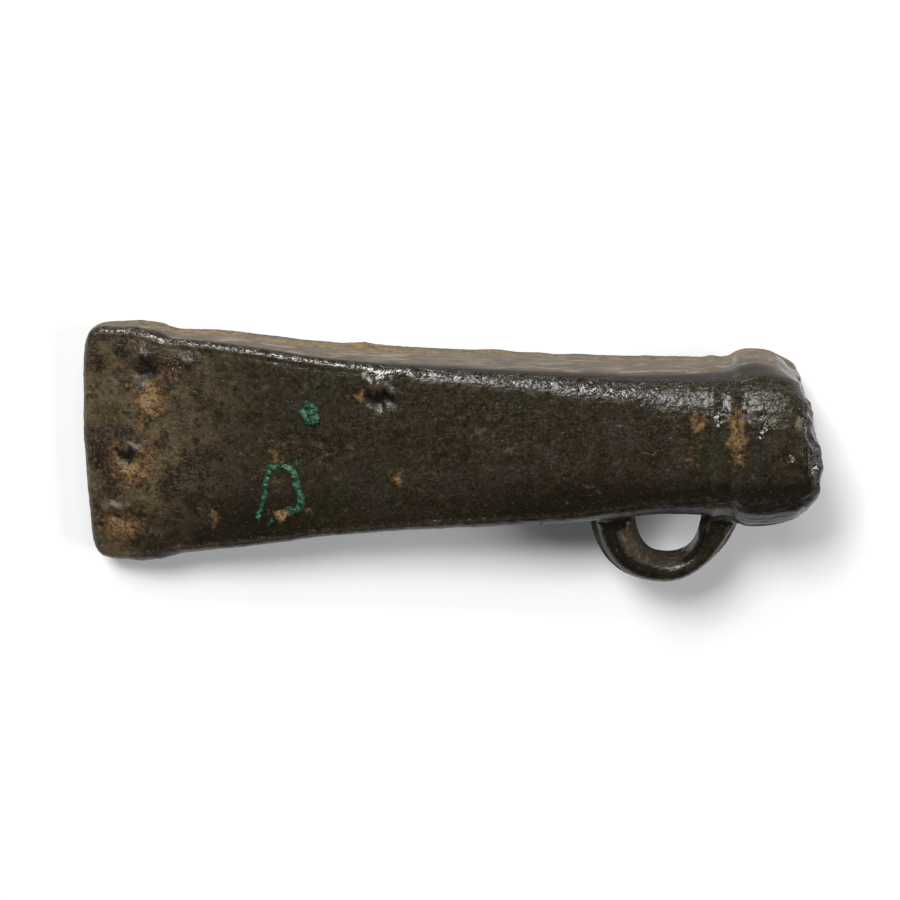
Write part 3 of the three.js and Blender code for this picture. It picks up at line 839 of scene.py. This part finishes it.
def coated_material(name, colours, base, stored, sums, coats, bumps):
    """A material built up in coats over a base colour, each limited to where its gates open."""
    material = bpy.data.materials.new(name)
    material.use_nodes = True
    tree = material.node_tree
    tree.nodes.clear()
    place = add_node(tree, "ShaderNodeTexCoord").outputs["Object"]
    fields = {}
    for field, (kind, size, detail, roughness, distortion, stretch) in PATTERNS.items():
        stretched = add_node(tree, "ShaderNodeMapping", {"Vector": place, "Scale": (stretch, 1.0, 1.0)})
        noise = add_node(tree, "ShaderNodeTexNoise", {
            "Vector": stretched.outputs[0], "Scale": 1.0 / (size * MM), "Detail": detail,
            "Roughness": roughness, "Distortion": distortion,
        }, noise_type=kind)
        if kind == "RIDGED_MULTIFRACTAL":
            noise.inputs["Offset"].default_value = RIDGE_OFFSET
        fields[field] = noise.outputs["Fac"]
    for field in stored:
        fields[field] = add_node(tree, "ShaderNodeAttribute", attribute_name=field).outputs["Fac"]
    for field, parts in sums.items():
        total = 0.0
        for part, weight in parts:
            inputs = {0: fields[part], 1: weight, 2: total}
            total = add_node(tree, "ShaderNodeMath", inputs, operation="MULTIPLY_ADD").outputs[0]
        fields[field] = total
    tone, roughness = base
    colour = (*getattr(colours, tone), 1.0)
    for tone, coat_roughness, cover, gates in coats:
        share = cover
        for field, begins, full in gates:
            gate = add_node(tree, "ShaderNodeMapRange", {
                "Value": fields[field], "From Min": begins, "From Max": full, "To Max": share,
            }, interpolation_type="SMOOTHSTEP")
            share = gate.outputs["Result"]
        inputs = {0: share, 6: colour, 7: (*getattr(colours, tone), 1.0)}
        colour = add_node(tree, "ShaderNodeMix", inputs, data_type="RGBA").outputs[2]
        inputs = {0: share, 2: roughness, 3: coat_roughness}
        roughness = add_node(tree, "ShaderNodeMix", inputs).outputs[0]
    links = {}
    for field, depth, limit in bumps:
        strength = fields[limit] if limit else 1.0
        bump = add_node(tree, "ShaderNodeBump", {
            "Height": fields[field], "Strength": strength, "Distance": depth * MM, **links,
        })
        links = {"Normal": bump.outputs["Normal"]}
    shader = add_node(tree, "ShaderNodeBsdfPrincipled", {
        "Base Color": colour, "Roughness": roughness,
        "Metallic": METALLIC, "Specular IOR Level": SPECULAR, **links,
    })
    add_node(tree, "ShaderNodeOutputMaterial", {"Surface": shader.outputs[0]})
    return material


def bronze_patina(colours):
    """Cast tin bronze under a dark waxed patina: glossy brown-black, with ochre soil in its pits, painted
    shade on the faces turned from the lamps and painted glints on the arrises.
    """
    return coated_material("waxed dark patina on cast bronze", colours, BRONZE_BASE, STORED, SUMS,
                           BRONZE_COATS, BRONZE_BUMPS)


def malachite_crust(colours):
    """Malachite: a thin copper-carbonate crust, bright green where thick and dark where thin."""
    return coated_material("malachite crust", colours, MALACHITE_BASE, (), {},
                           MALACHITE_COATS, MALACHITE_BUMPS)


def colour_property(name, description, code):
    return bpy.props.FloatVectorProperty(
        name=name, description=description, subtype="COLOR", size=3, min=0.0, max=1.0, default=srgb(code))


class AxeCastingSettings(bpy.types.PropertyGroup):
    voxel: bpy.props.FloatProperty(
        name="Voxel", description="Size of the mesh's cells, in mm", default=0.3, min=0.2, max=1.0)
    joint_closing: bpy.props.FloatProperty(
        name="Joint closing", description="How far the zones swell to join, in mm", default=0.17)
    lump_height: bpy.props.FloatProperty(
        name="Lumps", description="Height of the broad lumps, in mm", default=0.34)
    grain_size: bpy.props.FloatProperty(
        name="Grain size", description="Size of the mould's grain, in mm", default=1.1)
    grain_height: bpy.props.FloatProperty(
        name="Grain height", description="Height of the mould's grain, in mm", default=0.14)
    crest_height: bpy.props.FloatProperty(
        name="Crest height", description="How far the arrises stand out, in mm", default=0.32)


class AxePatinaSettings(bpy.types.PropertyGroup):
    # Also the colour of the painted shade: the lower zone, the turn into the arris, the steep faces, the
    # underside, the pits and the hollows
    black_patina_and_shade: colour_property("Deep patina", "Black in cracks and breaks", "#120E08")
    dark_patina: colour_property("Dark patina", "Brown-black ground", "#1F190E")
    olive_patina: colour_property("Olive patina", "Olive patches", "#252114")
    violet_patina: colour_property("Violet patina", "Violet-grey patches", "#2C2422")
    light_patina: colour_property("Light patina", "Lighter blotches", "#3B3427")
    blade_patina: colour_property("Blade patina", "Brown of the blade", "#655640")
    moss_patina: colour_property("Moss patina", "Greenish flecks", "#3B402A")
    plum_patina: colour_property("Plum patina", "Violet-grey flecks", "#3F3938")
    side_patina: colour_property("Side patina", "Worn grey-brown of the narrow side", "#655847")
    # Colour of the painted highlights on the arrises and of the painted sheen on the narrow side
    painted_glint_colour: colour_property("Rubbed edge", "Wax and patina rubbed bright on the arrises", "#CCC4BA")
    eye_earth: colour_property("Eye earth", "Earth on the wall of the loop's eye", "#2A2114")
    ochre_soil: colour_property("Ochre soil", "Soil in the pits", "#6B4C26")
    pale_soil: colour_property("Pale soil", "Dry soil and specks", "#8E7549")
    strip_earth: colour_property("Strip earth", "Earth on the lower half of the narrow side", "#6C5C3B")
    green_stain: colour_property("Green stain", "Thin green carbonate", "#16241A")
    pale_stain: colour_property("Pale stain", "Pale grey-green carbonate", "#5C5D44")
    red_stain: colour_property("Red stain", "Red copper oxide", "#48211A")
    malachite: colour_property("Malachite", "Thick green crust", "#1B5A3A")
    dark_malachite: colour_property("Dark malachite", "Thin green crust", "#0A2E1A")
    pale_malachite: colour_property("Pale malachite", "Dry green crust", "#6A9070")


class AxeStageSettings(bpy.types.PropertyGroup):
    view_tilt: bpy.props.FloatProperty(
        name="View tilt", description="Angle of the camera from straight above",
        subtype="ANGLE", default=math.radians(14.0))
    view_roll: bpy.props.FloatProperty(
        name="View roll", description="Turn of the camera on its own axis",
        subtype="ANGLE", default=math.radians(1.15))
    floor_colour: colour_property("Floor", "White photographic paper", "#EFEFEF")
    world_colour: colour_property("Studio walls", "Pale grey light from all round", "#C4C4C5")
    view_lens: bpy.props.FloatProperty(
        name="Lens", description="Focal length of the camera", subtype="DISTANCE_CAMERA", default=115.0)
    view_distance: bpy.props.FloatProperty(
        name="View distance", description="Distance of the camera, in mm", default=431.25)
    key_power: bpy.props.FloatProperty(
        name="Key lamp", description="Power of the large soft lamp", subtype="POWER", default=9.3)
    edge_power: bpy.props.FloatProperty(
        name="Edge lamp", description="Power of the low strip lamp behind", subtype="POWER", default=3.2)
    right_power: bpy.props.FloatProperty(
        name="Right lamp", description="Power of the low lamp at the right", subtype="POWER", default=3.4)


class AXE_OT_casting(bpy.types.Operator):
    """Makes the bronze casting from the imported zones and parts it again"""
    bl_idname = "axe.casting"
    bl_label = "Cast the bronze"

    def execute(self, context):
        settings = context.scene.axe_casting
        place = casting_place()
        whole = copy_of_nodes(tuple(REPLACED.values()), "cast_whole")
        raise_surface(whole, "swelling", settings.joint_closing)
        finish_modifier(whole, "REMESH", mode="VOXEL", voxel_size=settings.voxel * MM)
        raise_surface(whole, "shrinking", -settings.joint_closing)
        finish_modifier(whole, "SMOOTH", factor=SMOOTHING, iterations=CASTING_ROUNDS)
        along = place.inside(vertex_arrays(whole)[0])[:, 0]
        group = weighted(whole, "mouldings", fade(along, "mouldings"))
        finish_modifier(whole, "SMOOTH", factor=SMOOTHING, iterations=MOULDING_ROUNDS,
                        vertex_group=group.name)
        whole.vertex_groups.clear()
        shape_casting(whole, place, settings)
        mark_surface(whole, place)
        bronze = bronze_patina(context.scene.axe_patina)
        for piece in part_casting(whole, place):
            make_active(piece)
            bpy.ops.object.shade_smooth_by_angle(angle=SMOOTH_ANGLE)
            piece.data.materials.append(bronze)
            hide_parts(REPLACED[piece.name])
            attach(piece, "root")
        return {"FINISHED"}


class AXE_OT_crusts(bpy.types.Operator):
    """Makes the two green crusts on the upper face"""
    bl_idname = "axe.crusts"
    bl_label = "Grow the crusts"

    def execute(self, context):
        green = malachite_crust(context.scene.axe_patina)
        for node, name, smoothing, grown, stroke, edge, breaks in CRUSTS:
            crust = copy_of_nodes((node,), name)
            finish_modifier(crust, "REMESH", mode="VOXEL", voxel_size=CRUST_VOXEL * MM)
            finish_modifier(crust, "SMOOTH", factor=SMOOTHING, iterations=smoothing)
            points = vertex_arrays(crust)[0] / MM
            thicker = stroke * fade(np.abs(points[:, 0] - THICK_STROKE), "ring's stroke")
            raise_surface(crust, "growth", CRUST_GROWTH, np.full(len(points), grown))
            raise_surface(crust, "stroke", STROKE_HEIGHT, thicker)
            outline = cloud("crust edge", CRUST_LUMP, 2)
            raise_surface(crust, "crust", edge, None, outline, middle=NOISE_MIDDLE)
            points, normals = vertex_arrays(crust)
            arch = mound(points[:, 0] / MM, points[:, 1] / MM, *RING_ARCH)
            raise_surface(crust, "arch", ARCH_SHIFT, arch, None, "Y")
            raise_surface(crust, "thin", ARCH_THINNING, arch, None, "Z")
            base = (normals[:, 2] < BASE_TURN).astype(float)
            raise_surface(crust, "base", BASE_DEPTH, base, None, "Z")
            holes = cloud("crust breaks", BREAK_SIZE)
            raise_surface(crust, "breaks", breaks, None, holes, "Z", BREAK_MIDDLE)
            make_active(crust)
            bpy.ops.object.shade_smooth()
            crust.data.materials.append(green)
            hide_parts(node)
            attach(crust, "root")
        return {"FINISHED"}


class AXE_OT_stage(bpy.types.Operator):
    """Makes the pale floor, the lamps and the camera"""
    bl_idname = "axe.stage"
    bl_label = "Set the stage"

    def execute(self, context):
        settings = context.scene.axe_stage
        scene = context.scene
        deselect_all()
        bpy.ops.mesh.primitive_plane_add(size=FLOOR_SIZE * MM, location=(0.0, 0.0, 0.0))
        floor = context.object
        floor.name = "floor"
        floor.data.materials.append(floor_paper(settings))
        world = bpy.data.worlds.new("studio")
        world.use_nodes = True
        scene.world = world
        background = world.node_tree.nodes["Background"]
        background.inputs["Color"].default_value = (*settings.world_colour, 1.0)
        background.inputs["Strength"].default_value = WORLD_STRENGTH
        aim = Vector(AIM) * MM
        for name, power, direction, distance, length, breadth in LAMPS:
            place = aim + Vector(direction).normalized() * distance * MM
            add_lamp(name, place, aim, length * MM, breadth * MM, getattr(settings, power))
        tilt = settings.view_tilt
        roll = settings.view_roll
        back = Vector((0.0, math.sin(tilt), math.cos(tilt)))
        up = Vector((0.0, math.cos(tilt), -math.sin(tilt)))
        right = Vector((1.0, 0.0, 0.0))
        turned_right = right * math.cos(roll) - up * math.sin(roll)
        turned_up = right * math.sin(roll) + up * math.cos(roll)
        bpy.ops.object.camera_add(location=aim + back * settings.view_distance * MM)
        camera = context.object
        camera.name = "photograph_view"
        camera.rotation_euler = Matrix((turned_right, turned_up, back)).transposed().to_euler()
        camera.data.lens = settings.view_lens
        camera.data.sensor_width = SENSOR_WIDTH
        camera.data.clip_start = NEAREST_SEEN * MM
        camera.data.clip_end = FARTHEST_SEEN * MM
        scene.camera = camera
        scene.view_settings.view_transform = "Standard"
        return {"FINISHED"}


def floor_paper(colours):
    """White photographic paper, which the camera sees a little brighter than it is lit."""
    material = bpy.data.materials.new("white background paper")
    material.use_nodes = True
    tree = material.node_tree
    tree.nodes.clear()
    rays = add_node(tree, "ShaderNodeLightPath").outputs
    seen = rays["Is Camera Ray"]
    for kind in ("Is Glossy Ray", "Is Transmission Ray"):
        seen = add_node(tree, "ShaderNodeMath", {0: seen, 1: rays[kind]}, operation="ADD").outputs[0]
    glow = add_node(tree, "ShaderNodeMath", {0: seen, 1: FLOOR_GLOW}, operation="MULTIPLY")
    shader = add_node(tree, "ShaderNodeBsdfPrincipled", {
        "Base Color": (*colours.floor_colour, 1.0), "Roughness": FLOOR_ROUGHNESS,
        "Specular IOR Level": FLOOR_SPECULAR,
        "Emission Color": (*srgb("#FFFFFF"), 1.0), "Emission Strength": glow.outputs[0],
    })
    add_node(tree, "ShaderNodeOutputMaterial", {"Surface": shader.outputs[0]})
    return material


def add_lamp(name, place, aim, length, breadth, power):
    """A soft rectangular lamp at a place, turned to what it lights."""
    bpy.ops.object.light_add(type="AREA", location=place)
    lamp = bpy.context.object
    lamp.name = name
    lamp.rotation_euler = (aim - place).to_track_quat("-Z", "Y").to_euler()
    lamp.data.shape = "RECTANGLE"
    lamp.data.size = length
    lamp.data.size_y = breadth
    lamp.data.energy = power


class AXE_PT_panel(bpy.types.Panel):
    """Lists the steps that dress the axe head"""
    bl_label = "Axe head"
    bl_idname = "AXE_PT_panel"
    bl_space_type = "VIEW_3D"
    bl_region_type = "UI"
    bl_category = "Axe head"

    def draw(self, context):
        layout = self.layout
        for group in (context.scene.axe_casting, context.scene.axe_patina, context.scene.axe_stage):
            box = layout.box()
            for name in group.bl_rna.properties.keys():
                if name not in ("rna_type", "name"):
                    box.prop(group, name)
        for operator in (AXE_OT_casting, AXE_OT_crusts, AXE_OT_stage):
            layout.operator(operator.bl_idname)


CLASSES = (
    AxeCastingSettings,
    AxePatinaSettings,
    AxeStageSettings,
    AXE_OT_casting,
    AXE_OT_crusts,
    AXE_OT_stage,
    AXE_PT_panel,
)


def register():
    for item in CLASSES:
        bpy.utils.register_class(item)
    bpy.types.Scene.axe_casting = bpy.props.PointerProperty(type=AxeCastingSettings)
    bpy.types.Scene.axe_patina = bpy.props.PointerProperty(type=AxePatinaSettings)
    bpy.types.Scene.axe_stage = bpy.props.PointerProperty(type=AxeStageSettings)


def unregister():
    del bpy.types.Scene.axe_stage
    del bpy.types.Scene.axe_patina
    del bpy.types.Scene.axe_casting
    for item in reversed(CLASSES):
        bpy.utils.unregister_class(item)


def main():
    register()
    bpy.ops.axe.stage()
    bpy.ops.axe.casting()
    bpy.ops.axe.crusts()


if __name__ == "__main__":
    main()
